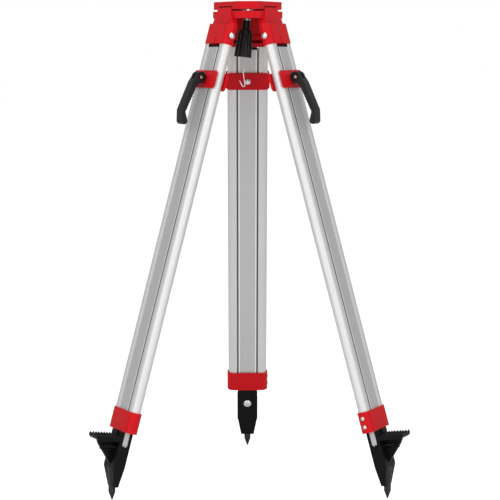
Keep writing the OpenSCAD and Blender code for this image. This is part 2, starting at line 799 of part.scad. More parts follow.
module foot() {
    end_half = 15.5;
    window_h = 27.5;
    web_half_t = 3.5;
    shelf_w = 30;
    shelf_back = 29; // the shelf ends this far behind the treadle's tip
    tip = treadle_reach - foot_half_out + over; // the treadle's tip, from the foot's face
    socket_d = panel_d / 2 + lip_h + 0.1;
    socket_w = panel_w / 2;
    color(black) difference() {
        union() {
            intersection() {
                across(foot_w + over) polygon([[-foot_half_in, -foot_top], [foot_half_out, -foot_top],
                    [foot_half_out, -block_end], [-4, -foot_end], [-foot_half_in, -foot_end + 2]]);
                translate([-foot_w, 0, 0]) rotate([90, 0, 90]) linear_extrude(2 * foot_w)
                    polygon([[foot_w / 2, -foot_top], [foot_w / 2, -block_end + 5], [end_half, -foot_end],
                        [-end_half, -foot_end], [-foot_w / 2, -block_end + 5], [-foot_w / 2, -foot_top]]);
            }
            // treadle, narrower at its tip
            intersection() {
                across(foot_w) treadle_outline();
                translate([0, 0, -block_end]) linear_extrude(block_end)
                    polygon([[0, -foot_w / 2], [foot_half_out, -foot_w / 2], [treadle_reach, -20],
                        [treadle_reach, 20], [foot_half_out, foot_w / 2], [0, foot_w / 2]]);
            }
            // web and shelf under the treadle
            translate([foot_half_out - over, 0, -treadle_top]) {
                across(2 * web_half_t) polygon([[0, -3.5], [tip - 6, -10.5], [tip - 12, -16.5],
                    [tip - 19, -26.5], [tip - 38, -44.5], [over, -63.5], [0, -63.5]]);
                across(shelf_w) polygon([[0, -21.5], [tip - shelf_back, -23], [tip - shelf_back - 2, -26],
                    [0, -25.5]]);
            }
        }
        // socket for the inner leg
        along_leg(foot_top - over, inner_end) square([2 * socket_d, 2 * socket_w], center = true);
        // side windows with round lower ends
        across(2 * foot_w) union() {
            translate([-8, -foot_top - window_h]) square([14, window_h + over]);
            translate([-1, -foot_top - window_h]) circle(7);
        }
        translate([0, 0, -foot_rivet_down]) out_rod(4, -foot_half_in - over, 0);
        in_spike_axes() cylinder(r = spike_r, h = 75);
    }
}

module foot_rivet() {
    color(zinc) translate([0, 0, -foot_rivet_down]) {
        out_rod(4, -foot_half_in - eps, panel_d / 2 + 0.5);
        translate([-foot_half_in, 0, 0]) rotate([0, -90, 0]) dome(9.4, 3.2);
    }
}

module spike() {
    color(steel) in_spike_axes() {
        cylinder(r1 = 1, r2 = spike_r, h = 18);
        translate([0, 0, 18 - eps]) cylinder(r = spike_r, h = 57 + eps);
    }
}

module leg_piece(piece) {
    if (piece == "shoulder") shoulder();
    if (piece == "rail_a") rail_a();
    if (piece == "rail_b") rail_b();
    if (piece == "collar") collar();
    if (piece == "collar_rivets") collar_rivets();
    if (piece == "inner_leg") inner_leg();
    if (piece == "top_cap") top_cap();
    if (piece == "clamp_inner_plate") clamp_plate(-plate_out);
    if (piece == "clamp_outer_plate") clamp_plate(plate_in);
    if (piece == "clamp_bolt") clamp_bolt();
    if (piece == "clamp_lever") clamp_lever();
    if (piece == "lever_pin") lever_pin();
    if (piece == "foot") foot();
    if (piece == "foot_rivet") foot_rivet();
    if (piece == "spike") spike();
}

head_plate();
head_body();
head_spacers();
plate_screws();
arm_pivot();
hinge_bolts();
hinge_nuts();
swing_arm();
screw_carrier();
ball_bush();
screw_washer();
instrument_screw();
screw_knob();
hook_chain();
plumb_hook();
for (s = SIDES)
    for (p = LEG_PIECES)
        at_leg(s[1]) leg_piece(p);
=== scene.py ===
# %% [markdown]
# # A surveyor's tripod, finished in Blender
#
# The tripod has a flat cast head, a screw that pulls an instrument down onto it, and three
# legs. Each leg is two half-round aluminium rails with a flat inner leg that slides between
# them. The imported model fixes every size, place and joint. Most pieces here are copies of
# it with rounded edges and a real surface. The screw, the fluted knob, the chain and the
# hook are made anew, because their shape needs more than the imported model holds. The levers
# get pockets, and ribs and small teeth are added to the levers and the feet.

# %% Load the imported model
import json
from math import cos, pi, radians, sin, sqrt, tau

import bmesh
import bpy
from mathutils import Matrix, Vector

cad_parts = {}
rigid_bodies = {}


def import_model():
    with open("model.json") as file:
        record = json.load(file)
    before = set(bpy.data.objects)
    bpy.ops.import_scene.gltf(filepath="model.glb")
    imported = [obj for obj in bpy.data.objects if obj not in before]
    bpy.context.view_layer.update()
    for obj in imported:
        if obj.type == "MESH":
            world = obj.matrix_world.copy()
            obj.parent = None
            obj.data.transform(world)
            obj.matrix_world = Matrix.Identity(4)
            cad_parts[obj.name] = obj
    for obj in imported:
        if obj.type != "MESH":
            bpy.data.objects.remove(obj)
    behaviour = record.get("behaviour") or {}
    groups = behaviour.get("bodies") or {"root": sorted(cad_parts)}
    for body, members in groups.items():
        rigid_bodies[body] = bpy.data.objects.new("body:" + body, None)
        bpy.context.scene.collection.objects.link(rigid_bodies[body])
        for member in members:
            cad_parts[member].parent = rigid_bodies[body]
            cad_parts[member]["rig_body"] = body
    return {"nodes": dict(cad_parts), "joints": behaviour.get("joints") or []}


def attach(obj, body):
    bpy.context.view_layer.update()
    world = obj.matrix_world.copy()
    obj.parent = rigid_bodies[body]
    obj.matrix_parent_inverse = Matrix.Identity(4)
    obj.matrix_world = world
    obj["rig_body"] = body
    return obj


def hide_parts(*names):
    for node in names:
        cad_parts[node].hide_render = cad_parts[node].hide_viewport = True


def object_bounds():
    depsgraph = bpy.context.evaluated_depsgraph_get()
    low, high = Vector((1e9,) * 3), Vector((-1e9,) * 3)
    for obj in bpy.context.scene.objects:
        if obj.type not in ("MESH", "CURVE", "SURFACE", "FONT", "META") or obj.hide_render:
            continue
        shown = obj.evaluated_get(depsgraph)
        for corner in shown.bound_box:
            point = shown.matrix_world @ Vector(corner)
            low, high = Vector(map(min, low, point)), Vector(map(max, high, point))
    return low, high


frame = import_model()
packed_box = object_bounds()
MM = 0.001

# %% [markdown]
# ## Camera
#
# A long lens from nearly four metres keeps the legs almost free of perspective, so their
# slant reads true. The camera is set first, because how large each piece shows decides how
# much detail it earns. It stands a little above the middle and looks down by some degrees.

# %% Camera
CAMERA_PLACE = Vector((-0.0404, -3.9026, -0.1157))
CAMERA_DOWN = radians(6.537)
CAMERA_TURN = radians(-0.647)
CAMERA_ROLL = radians(-0.132)
LENS, SENSOR = 123.39, 36

camera = bpy.data.objects.new("camera", bpy.data.cameras.new("camera"))
camera.data.lens = LENS
camera.data.sensor_width = SENSOR
camera.matrix_world = (
    Matrix.Translation(CAMERA_PLACE)
    @ Matrix.Rotation(CAMERA_TURN, 4, "Z")
    @ Matrix.Rotation(pi / 2 - CAMERA_DOWN, 4, "X")
    @ Matrix.Rotation(CAMERA_ROLL, 4, "Z")
)
bpy.context.scene.collection.objects.link(camera)
bpy.context.scene.camera = camera
print("camera at", [round(v, 3) for v in camera.location])

# %% [markdown]
# ## Floor and light
#
# Satin metal shows what is round it, so the light matters more than the metal's own colour.
# One even white sky would make every rail flat grey. A mild sky with three wide soft lamps
# gives a bright streak down each round rail and lets the space under the head go dark.
# The sky that the camera sees is plain white, while the one that lights the metal is dimmer:
# the Light Path node tells the two apart.

# %% Floor, sky and lamps
FLOOR_SIZE = 60.0
SKY_SEEN, SKY_LIGHT = 1.0, 0.50
FLOOR_LIFT = 0.60  # the floor's own glow, which only the camera sees
WHITE = (1, 1, 1, 1)


def add_floor(height):
    mesh = bpy.data.meshes.new("floor")
    half = FLOOR_SIZE / 2
    corners = [(-half, -half), (half, -half), (half, half), (-half, half)]
    mesh.from_pydata([(x, y, height) for x, y in corners], [], [(0, 1, 2, 3)])
    floor = bpy.data.objects.new("floor", mesh)
    bpy.context.scene.collection.objects.link(floor)
    paint = bpy.data.materials.new("pale floor")
    paint.use_nodes = True
    shader = paint.node_tree.nodes["Principled BSDF"]
    shader.inputs["Base Color"].default_value = (0.93, 0.93, 0.93, 1)
    shader.inputs["Roughness"].default_value = 0.8
    shader.inputs["Specular IOR Level"].default_value = 0.0
    shader.inputs["Emission Color"].default_value = WHITE
    nodes = paint.node_tree.nodes
    lift = nodes.new("ShaderNodeMath")
    lift.operation = "MULTIPLY"
    lift.inputs[1].default_value = FLOOR_LIFT
    links = paint.node_tree.links
    links.new(nodes.new("ShaderNodeLightPath").outputs["Is Camera Ray"], lift.inputs[0])
    links.new(lift.outputs[0], shader.inputs["Emission Strength"])
    mesh.materials.append(paint)


def add_sky():
    world = bpy.data.worlds.new("studio")
    world.use_nodes = True
    nodes, links = world.node_tree.nodes, world.node_tree.links
    nodes.clear()
    path = nodes.new("ShaderNodeLightPath")
    seen, light = (nodes.new("ShaderNodeBackground") for _ in range(2))
    seen.inputs["Strength"].default_value = SKY_SEEN
    light.inputs["Strength"].default_value = SKY_LIGHT
    for sky in (seen, light):
        sky.inputs["Color"].default_value = WHITE
    choose = nodes.new("ShaderNodeMixShader")
    out = nodes.new("ShaderNodeOutputWorld")
    links.new(path.outputs["Is Camera Ray"], choose.inputs["Fac"])
    links.new(light.outputs[0], choose.inputs[1])
    links.new(seen.outputs[0], choose.inputs[2])
    links.new(choose.outputs[0], out.inputs["Surface"])
    bpy.context.scene.world = world


def add_lamp(name, place, target, size, power):
    lamp = bpy.data.lights.new(name, "AREA")
    lamp.shape = "RECTANGLE"
    lamp.size, lamp.size_y = size
    lamp.energy = power
    ob = bpy.data.objects.new(name, lamp)
    ob.location = place
    ob.rotation_euler = (Vector(target) - Vector(place)).to_track_quat("-Z", "Y").to_euler()
    bpy.context.scene.collection.objects.link(ob)


add_floor(packed_box[0].z)
add_sky()
add_lamp("left lamp", (-1.9, -3.2, 0.7), (0, 0, -0.5), (2.4, 3.2), 46)
add_lamp("right lamp", (1.9, -3.2, 0.5), (0, 0, -0.5), (2.4, 3.0), 36)
add_lamp("top lamp", (0.0, -0.6, 2.2), (0, 0, -0.4), (2.4, 2.0), 22)
bpy.context.scene.view_settings.view_transform = "Standard"
print("floor at", round(packed_box[0].z, 4), "with three lamps")

# %% [markdown]
# ## Axes of each leg
#
# A leg leans by some degrees and points its own way round the head, so its pieces are easiest
# to think of in the leg's own axes: X out of its face, Y across it, Z up along it, with zero at
# the hinge bolt. The joints in the record already say where those axes are: the hinge gives
# the place and the line across, and the sliding joint gives the line down the leg.

# %% Leg axes from the joints
SIDES = ("left", "right", "rear")
joints = {joint["name"]: joint for joint in frame["joints"]}


def axes_at(place, across, up):
    out = across.cross(up)
    axes = Matrix((out, across, up)).transposed().to_4x4()
    axes.translation = Vector(place)
    return axes


def leg_axes(side):
    hinge = joints[side + "_leg_spread"]
    up = -Vector(joints[side + "_leg_draw"]["axis"]).normalized()
    return axes_at(hinge["pos_m"], -Vector(hinge["axis"]).normalized(), up)


LEG = {side: leg_axes(side) for side in SIDES}
screw_up = Vector(joints["screw_turn"]["axis"]).normalized()
SCREW = axes_at(joints["screw_lean"]["pos_m"], Vector((0, 1, 0)), screw_up)


def span(node, axes):
    """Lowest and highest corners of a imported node, measured along other axes."""
    into = axes.inverted()
    points = [into @ v.co for v in frame["nodes"][node].data.vertices]
    low = Vector(min(p[i] for p in points) for i in range(3))
    high = Vector(max(p[i] for p in points) for i in range(3))
    return low, high


low, high = span("left_rail_a", LEG["left"])
print("a rail runs", round(-high.z / MM, 1), "to", round(-low.z / MM, 1), "mm down its leg")

# %% [markdown]
# ## Shared surface effects
#
# Powder coat, moulded plastic, drawn aluminium and plating differ in scale and strength, but
# each is made of the same few effects: a fine relief, a slow change of shade, lines along the
# metal, and worn edges. Each effect is one node group with named inputs, so a material only
# says how much of it to use. A group gives out values and colours, and the shader itself
# stays in the material.

# %% Helpers for node groups
def shader_group(name, inputs, outputs):
    group = bpy.data.node_groups.new(name, "ShaderNodeTree")
    for label, kind, value in inputs:
        socket = group.interface.new_socket(label, in_out="INPUT", socket_type="NodeSocket" + kind)
        if value is not None:
            socket.default_value = value
    for label, kind in outputs:
        group.interface.new_socket(label, in_out="OUTPUT", socket_type="NodeSocket" + kind)
    return group, group.nodes.new("NodeGroupInput"), group.nodes.new("NodeGroupOutput")


def add_node(tree, kind, inputs=None, **settings):
    node = tree.nodes.new(kind)
    for label, value in settings.items():
        setattr(node, label, value)
    for label, value in (inputs or {}).items():
        if isinstance(value, bpy.types.NodeSocket):
            tree.links.new(value, node.inputs[label])
        else:
            node.inputs[label].default_value = value
    return node


def maths(tree, operation, *values):
    node = tree.nodes.new("ShaderNodeMath")
    node.operation = operation
    for i, value in enumerate(values):
        if isinstance(value, bpy.types.NodeSocket):
            tree.links.new(value, node.inputs[i])
        else:
            node.inputs[i].default_value = value
    return node.outputs[0]


# %% Fine relief group: the small bumps of powder coat and of moulded plastic
def make_relief_group():
    group, given, made = shader_group(
        "fine relief",
        [("Vector", "Vector", None), ("Grain size", "Float", 0.001), ("Ripple size", "Float", 0.01),
         ("Ripple share", "Float", 0.4)],
        [("Height", "Float")],
    )
    fine_scale = maths(group, "DIVIDE", 1.0, given.outputs["Grain size"])
    slow_scale = maths(group, "DIVIDE", 1.0, given.outputs["Ripple size"])
    fine = add_node(group, "ShaderNodeTexNoise",
                    {"Vector": given.outputs["Vector"], "Scale": fine_scale, "Detail": 2.0})
    slow = add_node(group, "ShaderNodeTexNoise",
                    {"Vector": given.outputs["Vector"], "Scale": slow_scale, "Detail": 1.0})
    rippled = maths(group, "MULTIPLY", slow.outputs["Fac"], given.outputs["Ripple share"])
    group.links.new(maths(group, "ADD", fine.outputs["Fac"], rippled), made.inputs["Height"])
    return group


# %% Shade drift group: a slow change of brightness over a piece
def make_drift_group():
    group, given, made = shader_group(
        "shade drift",
        [("Vector", "Vector", None), ("Color", "Color", WHITE), ("Patch size", "Float", 0.03),
         ("Amount", "Float", 0.1)],
        [("Color", "Color"), ("Value", "Float")],
    )
    scale = maths(group, "DIVIDE", 1.0, given.outputs["Patch size"])
    cloud = add_node(group, "ShaderNodeTexNoise", {
        "Vector": given.outputs["Vector"], "Scale": scale, "Detail": 4.0, "Roughness": 0.6})
    centred = maths(group, "SUBTRACT", cloud.outputs["Fac"], 0.5)
    factor = maths(group, "MULTIPLY_ADD", centred, given.outputs["Amount"], 1.0)
    tint = add_node(group, "ShaderNodeHueSaturation",
                    {"Color": given.outputs["Color"], "Value": factor})
    group.links.new(tint.outputs["Color"], made.inputs["Color"])
    group.links.new(cloud.outputs["Fac"], made.inputs["Value"])
    return group


# %% Drawn lines group: fine streaks along a drawn or turned metal piece
def make_lines_group():
    group, given, made = shader_group(
        "drawn lines",
        [("Vector", "Vector", None), ("Line width", "Float", 0.0006), ("Line length", "Float", 0.3)],
        [("Value", "Float")],
    )
    across = maths(group, "DIVIDE", 1.0, given.outputs["Line width"])
    along = maths(group, "DIVIDE", 1.0, given.outputs["Line length"])
    stretch = add_node(group, "ShaderNodeCombineXYZ", {"X": across, "Y": across, "Z": along})
    place = add_node(group, "ShaderNodeVectorMath", operation="MULTIPLY")
    group.links.new(given.outputs["Vector"], place.inputs[0])
    group.links.new(stretch.outputs[0], place.inputs[1])
    streak = add_node(group, "ShaderNodeTexNoise",
                      {"Vector": place.outputs[0], "Scale": 1.0, "Detail": 3.0, "Roughness": 0.7})
    group.links.new(streak.outputs["Fac"], made.inputs["Value"])
    return group


# %% Edge wear group: where handling has rubbed an outer edge
CHIP_SCALE = 90.0
WEAR_FROM, WEAR_FULL = 0.02, 0.12  # how far an edge bends before it shows wear, and all of it


def make_wear_group():
    group, given, made = shader_group(
        "edge wear",
        [("Vector", "Vector", None), ("Reach", "Float", 0.0012), ("Amount", "Float", 0.5)],
        [("Mask", "Float")],
    )
    rounded = add_node(group, "ShaderNodeBevel", {"Radius": given.outputs["Reach"]}, samples=4)
    flat = group.nodes.new("ShaderNodeNewGeometry")
    agree = add_node(group, "ShaderNodeVectorMath", operation="DOT_PRODUCT")
    group.links.new(rounded.outputs["Normal"], agree.inputs[0])
    group.links.new(flat.outputs["Normal"], agree.inputs[1])
    bend = maths(group, "SUBTRACT", 1.0, agree.outputs["Value"])
    patches = add_node(group, "ShaderNodeTexNoise",
                       {"Vector": given.outputs["Vector"], "Scale": CHIP_SCALE, "Detail": 5.0})
    chips = maths(group, "MULTIPLY", bend, patches.outputs["Fac"])
    mask = add_node(group, "ShaderNodeMapRange",
                    {"Value": chips, "From Min": WEAR_FROM, "From Max": WEAR_FULL})
    worn = maths(group, "MULTIPLY", mask.outputs[0], given.outputs["Amount"])
    group.links.new(worn, made.inputs["Mask"])
    return group


RELIEF, DRIFT, LINES, WEAR = (
    make_relief_group(), make_drift_group(), make_lines_group(), make_wear_group())
print("effect groups:", [g.name for g in bpy.data.node_groups])

# %% [markdown]
# ## Materials
#
# The castings and clamp plates are powder coated: a satin red with a very slight orange-peel
# ripple. The extrusions are anodised, so their aluminium is a soft grey that blurs what it
# reflects, with faint lines along the draw. Knob, levers and feet are filled nylon, black with
# a spark-eroded grain. Fasteners are bright zinc, and the spikes are blackened steel.
# Metals that follow a leg read the leg's own axes from an attribute on the mesh, so that their
# lines run down the leg whichever way it points.

# %% Helpers for materials
LEG_PLACE = "leg_place"


def start_material(name, follows_leg=False):
    material = bpy.data.materials.new(name)
    material.use_nodes = True
    tree = material.node_tree
    if follows_leg:
        where = add_node(tree, "ShaderNodeAttribute", attribute_name=LEG_PLACE).outputs["Vector"]
    else:
        where = tree.nodes.new("ShaderNodeTexCoord").outputs["Object"]
    return material, tree, tree.nodes["Principled BSDF"], where


def use_group(tree, group, **inputs):
    node = tree.nodes.new("ShaderNodeGroup")
    node.node_tree = group
    for label, value in inputs.items():
        socket = node.inputs[label.replace("_", " ")]
        if isinstance(value, bpy.types.NodeSocket):
            tree.links.new(value, socket)
        else:
            socket.default_value = value
    return node


def mix_colours(tree, factor, first, second):
    node = tree.nodes.new("ShaderNodeMix")
    node.data_type = "RGBA"
    tree.links.new(factor, node.inputs["Factor"])
    for i, value in ((6, first), (7, second)):
        if isinstance(value, bpy.types.NodeSocket):
            tree.links.new(value, node.inputs[i])
        else:
            node.inputs[i].default_value = value
    return node.outputs[2]


NOISE_LOW, NOISE_HIGH = 0.3, 0.7  # nearly all of a noise lies between these


def spread(tree, value, low, high):
    """A noise that wanders round the middle, stretched to run from low to high."""
    node = add_node(tree, "ShaderNodeMapRange", {
        "Value": value, "From Min": NOISE_LOW, "From Max": NOISE_HIGH, "To Min": low, "To Max": high})
    return node.outputs[0]


def bump(tree, shader, height, depth):
    """Raises the surface by depth, in metres, where the height is one."""
    node = add_node(tree, "ShaderNodeBump", {"Height": height, "Distance": depth, "Strength": 1.0})
    tree.links.new(node.outputs["Normal"], shader.inputs["Normal"])


# %% Red powder coat
RED = (0.60, 0.004, 0.0095, 1)
RED_WORN = (0.72, 0.05, 0.05, 1)
COAT_GLOSS, COAT_RIPPLE = 0.14, 0.00006  # the ripple's depth in metres


def make_powder_coat():
    material, tree, shader, where = start_material("red powder coat")
    drift = use_group(tree, DRIFT, Vector=where, Color=RED, Patch_size=0.04, Amount=0.16)
    relief = use_group(tree, RELIEF, Vector=where,
                       Grain_size=0.0009, Ripple_size=0.004, Ripple_share=0.8)
    wear = use_group(tree, WEAR, Vector=where, Reach=0.0010, Amount=0.35)
    tree.links.new(mix_colours(tree, wear.outputs["Mask"], drift.outputs["Color"], RED_WORN),
                   shader.inputs["Base Color"])
    tree.links.new(spread(tree, drift.outputs["Value"], 0.36, 0.46), shader.inputs["Roughness"])
    shader.inputs["Specular IOR Level"].default_value = COAT_GLOSS
    bump(tree, shader, relief.outputs["Height"], COAT_RIPPLE)
    return material


# %% Anodised aluminium
# Painted highlight along the raised lips at the edges of the inner leg's panel.
PANEL_LIP_HIGHLIGHT = (0.94, 0.94, 0.935, 1)
RAIL_GROOVE_SHADE = (0.085, 0.085, 0.09, 1)  # painted shade on the rails' inner faces, in the groove the inner leg slides in
GROOVE_SHADE_AND_SLIDE_GRIME = (0.26, 0.26, 0.262, 1)  # painted groove shade and sliding grime on the inner leg's sides, which show when it is drawn out
ANODISED_METALLIC = 0.72  # the oxide skin takes the edge off a bare metal's mirror
DRAWN_LINE_DEPTH = 0.00003


def between(tree, value, low, high):
    """One where the value lies between low and high, and zero elsewhere."""
    above, below = maths(tree, "GREATER_THAN", value, low), maths(tree, "LESS_THAN", value, high)
    return maths(tree, "MULTIPLY", above, below)


def make_aluminium(name, colour, rough, zones):
    """Each zone is a shade and where it lies: (low, high) ranges out of, across and up the leg."""
    material, tree, shader, where = start_material(name, follows_leg=True)
    lines = use_group(tree, LINES, Vector=where, Line_width=0.0007, Line_length=0.35)
    drift = use_group(tree, DRIFT, Vector=where, Color=colour, Patch_size=0.12, Amount=0.06)
    bright = tuple(min(1.0, c * 1.10) for c in colour[:3]) + (1,)
    streak = spread(tree, lines.outputs["Value"], 0.0, 0.35)
    skin = mix_colours(tree, streak, drift.outputs["Color"], bright)
    place = add_node(tree, "ShaderNodeSeparateXYZ", {"Vector": where})
    out, across = (maths(tree, "ABSOLUTE", place.outputs[axis]) for axis in "XY")
    for shade, *ranges in zones:
        masks = [between(tree, value, *limits)
                 for value, limits in zip((out, across, place.outputs["Z"]), ranges)]
        mask = maths(tree, "MULTIPLY", maths(tree, "MULTIPLY", masks[0], masks[1]), masks[2])
        skin = mix_colours(tree, mask, skin, shade)
    tree.links.new(skin, shader.inputs["Base Color"])
    tree.links.new(spread(tree, lines.outputs["Value"], rough - 0.05, rough + 0.06),
                   shader.inputs["Roughness"])
    shader.inputs["Metallic"].default_value = ANODISED_METALLIC
    bump(tree, shader, lines.outputs["Value"], DRAWN_LINE_DEPTH)
    return material


# %% Black nylon
NYLON = (0.0040, 0.0040, 0.0042, 1)
NYLON_WORN = (0.030, 0.030, 0.031, 1)
NYLON_GRAIN_DEPTH = 0.00012


def make_nylon(name, rough, grain, gloss):
    material, tree, shader, where = start_material(name)
    drift = use_group(tree, DRIFT, Vector=where, Color=NYLON, Patch_size=0.02, Amount=0.5)
    relief = use_group(tree, RELIEF, Vector=where,
                       Grain_size=grain, Ripple_size=0.006, Ripple_share=0.3)
    wear = use_group(tree, WEAR, Vector=where, Reach=0.0012, Amount=0.5)
    tree.links.new(mix_colours(tree, wear.outputs["Mask"], drift.outputs["Color"], NYLON_WORN),
                   shader.inputs["Base Color"])
    tree.links.new(spread(tree, drift.outputs["Value"], rough - 0.05, rough + 0.07),
                   shader.inputs["Roughness"])
    shader.inputs["Specular IOR Level"].default_value = gloss
    bump(tree, shader, relief.outputs["Height"], NYLON_GRAIN_DEPTH)
    return material


# %% Zinc plate and blackened steel
def make_plain_metal(name, colour, second, rough, lines_width):
    material, tree, shader, where = start_material(name)
    drift = use_group(tree, DRIFT, Vector=where, Color=colour, Patch_size=0.008, Amount=0.15)
    lines = use_group(tree, LINES, Vector=where, Line_width=lines_width, Line_length=0.01)
    hue = spread(tree, drift.outputs["Value"], 0.0, 0.6)
    tree.links.new(mix_colours(tree, hue, drift.outputs["Color"], second),
                   shader.inputs["Base Color"])
    tree.links.new(spread(tree, lines.outputs["Value"], rough - 0.06, rough + 0.08),
                   shader.inputs["Roughness"])
    shader.inputs["Metallic"].default_value = 1.0
    bump(tree, shader, lines.outputs["Value"], DRAWN_LINE_DEPTH)
    return material


# %% One of each material
POWDER_COAT = make_powder_coat()
ANY = (-2.0, 2.0)  # longer than any leg, in metres
# Rail zone: painted shade on the rails' inner faces in the groove.
RAIL_ZONES = [(RAIL_GROOVE_SHADE, (-1, 0.0108), (0, 0.0262), ANY)]
# Panel zones: a painted highlight on the lips, then painted groove shade with sliding grime on the
# sides.
PANEL_ZONES = [(PANEL_LIP_HIGHLIGHT, (0.0116, 1), (0.0186, 0.0215), ANY),
               (GROOVE_SHADE_AND_SLIDE_GRIME, (-1, 0.0116), (0.0217, 0.04), (-0.905, 0.1))]
RAIL_METAL = make_aluminium("rail aluminium", (0.73, 0.725, 0.72, 1), 0.54, RAIL_ZONES)
PANEL_METAL = make_aluminium("panel aluminium", (0.60, 0.595, 0.60, 1), 0.52, PANEL_ZONES)
HAND_NYLON = make_nylon("hand nylon", 0.36, 0.0007, 0.32)
FOOT_NYLON = make_nylon("foot nylon", 0.40, 0.0010, 0.12)
ZINC = make_plain_metal(
    "zinc plate", (0.74, 0.77, 0.76, 1), (0.70, 0.75, 0.79, 1), 0.26, 0.0004)
BLACK_STEEL = make_plain_metal(
    "blackened steel", (0.060, 0.056, 0.052, 1), (0.035, 0.034, 0.033, 1), 0.38, 0.0003)
print("materials:", [m.name for m in bpy.data.materials if m.users])

# %% [markdown]
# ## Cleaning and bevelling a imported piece
#
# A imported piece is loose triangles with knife-sharp corners. Real castings and mouldings have
# a small radius on every edge, and that radius is what catches a thin line of light. So a
# copy is merged into whole faces, its sharp edges are bevelled, and its normals are kept flat
# on the flat faces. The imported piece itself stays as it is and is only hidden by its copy.

# %% Helpers that make and place a piece
SHARP = radians(28)
SAME_POINT = 0.002 * MM
SAME_PLANE = radians(0.4)


def show(name, mesh):
    piece = bpy.data.objects.new(name, mesh)
    bpy.context.scene.collection.objects.link(piece)
    return piece


def settle(piece):
    """Turns a piece with its modifiers into a plain mesh."""
    bpy.context.view_layer.update()
    seen = piece.evaluated_get(bpy.context.evaluated_depsgraph_get())
    mesh = bpy.data.meshes.new_from_object(seen)
    piece.modifiers.clear()
    piece.data = mesh
    return piece


def clean_copy(node, name):
    source = frame["nodes"][node].data
    bm = bmesh.new()
    points = [bm.verts.new(v.co) for v in source.vertices]
    for face in source.polygons:
        bm.faces.new([points[i] for i in face.vertices])
    bmesh.ops.remove_doubles(bm, verts=bm.verts, dist=SAME_POINT)
    bmesh.ops.dissolve_limit(bm, angle_limit=SAME_PLANE, verts=bm.verts, edges=bm.edges)
    mesh = bpy.data.meshes.new(name)
    bm.to_mesh(mesh)
    bm.free()
    return show(name, mesh)


def round_edges(piece, width, segments=2):
    bevel = piece.modifiers.new("edges", "BEVEL")
    bevel.width = width
    bevel.segments = segments
    bevel.limit_method = "ANGLE"
    bevel.angle_limit = SHARP
    bevel.harden_normals = True
    bevel.miter_outer = "MITER_ARC"
    piece.data.shade_smooth()
    return settle(piece)


def smooth_by_angle(piece):
    piece.data.shade_smooth()
    piece.data.set_sharp_from_angle(angle=SHARP)
    return piece


def remember_leg_place(piece, axes):
    into = axes.inverted()
    places = piece.data.attributes.new(LEG_PLACE, "FLOAT_VECTOR", "POINT")
    for i, vertex in enumerate(piece.data.vertices):
        places.data[i].vector = into @ vertex.co


def put_on(piece, node, material):
    """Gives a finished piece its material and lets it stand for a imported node."""
    piece.data.materials.clear()
    piece.data.materials.append(material)
    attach(piece, frame["nodes"][node]["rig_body"])
    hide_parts(node)


def dress(node, kind, edge, material, axes=None):
    piece = round_edges(clean_copy(node, node + "_" + kind), edge)
    if axes is not None:
        remember_leg_place(piece, axes)
    put_on(piece, node, material)
    return len(piece.data.polygons)


# %% [markdown]
# ## Shapes that follow a rule
#
# Round pieces are made by turning an outline, like work on a lathe. What repeats is made by
# Geometry Nodes: a tree with named sizes sets copies at places, makes them real and gives
# them a material. Its result is then kept as a plain mesh, so that nothing live is left.

# %% Helpers for lathe shapes and geometry trees
def lathe(name, profile, steps=64, dent=None):
    """A closed shape turned about Z from (radius, height) points; dent may press the skin in."""
    bm = bmesh.new()
    rings = []
    for radius, height in profile:
        ring = []
        for i in range(steps):
            turn = tau * i / steps
            reach = radius - (dent(turn, radius, height) if dent else 0)
            ring.append(bm.verts.new((reach * cos(turn) * MM, reach * sin(turn) * MM, height * MM)))
        rings.append(ring)
    for low_ring, high_ring in zip(rings, rings[1:]):
        for i in range(steps):
            k = (i + 1) % steps
            bm.faces.new((low_ring[i], low_ring[k], high_ring[k], high_ring[i]))
    bm.faces.new(list(reversed(rings[0])))
    bm.faces.new(rings[-1])
    bmesh.ops.recalc_face_normals(bm, faces=bm.faces)
    mesh = bpy.data.meshes.new(name)
    bm.to_mesh(mesh)
    bm.free()
    return show(name, mesh)


def geometry_tree(name, inputs):
    tree = bpy.data.node_groups.new(name, "GeometryNodeTree")
    for label, kind in inputs:
        tree.interface.new_socket(label, in_out="INPUT", socket_type="NodeSocket" + kind)
    tree.interface.new_socket("Material", in_out="INPUT", socket_type="NodeSocketMaterial")
    tree.interface.new_socket("Geometry", in_out="OUTPUT", socket_type="NodeSocketGeometry")
    return tree, tree.nodes.new("NodeGroupInput").outputs, tree.nodes.new("NodeGroupOutput")


def end_tree(tree, given, made, geometry):
    """Every tree ends alike: instances become real and take the material."""
    real = add_node(tree, "GeometryNodeRealizeInstances", {"Geometry": geometry})
    painted = add_node(tree, "GeometryNodeSetMaterial",
                       {"Geometry": real.outputs[0], "Material": given["Material"]})
    tree.links.new(painted.outputs[0], made.inputs["Geometry"])
    return tree


def grow(name, tree, material, **values):
    piece = show(name, bpy.data.meshes.new(name))
    modifier = piece.modifiers.new("grow", "NODES")
    modifier.node_group = tree
    values = {label.replace("_", " "): value for label, value in values.items()}
    values["Material"] = material
    for socket in tree.interface.items_tree:
        if socket.in_out == "INPUT":
            modifier[socket.identifier] = values[socket.name]
    return settle(piece)


def place_and_join(name, pieces, axes):
    """Puts meshes made about the origin on their axes, and joins them under one name."""
    bm = bmesh.new()
    for piece in pieces:
        bm.from_mesh(piece.data)
        bpy.data.objects.remove(piece)
    bmesh.ops.transform(bm, matrix=axes, verts=bm.verts)
    mesh = bpy.data.meshes.new(name)
    bm.to_mesh(mesh)
    bm.free()
    return smooth_by_angle(show(name, mesh))


# %% [markdown]
# ## Head castings
#
# The head is two castings screwed together: a flat plate for the instrument to sit on, and a
# body below it with a lug for each leg. Cast aluminium has generous radii where the mould
# parts, so these copies get the widest bevels.

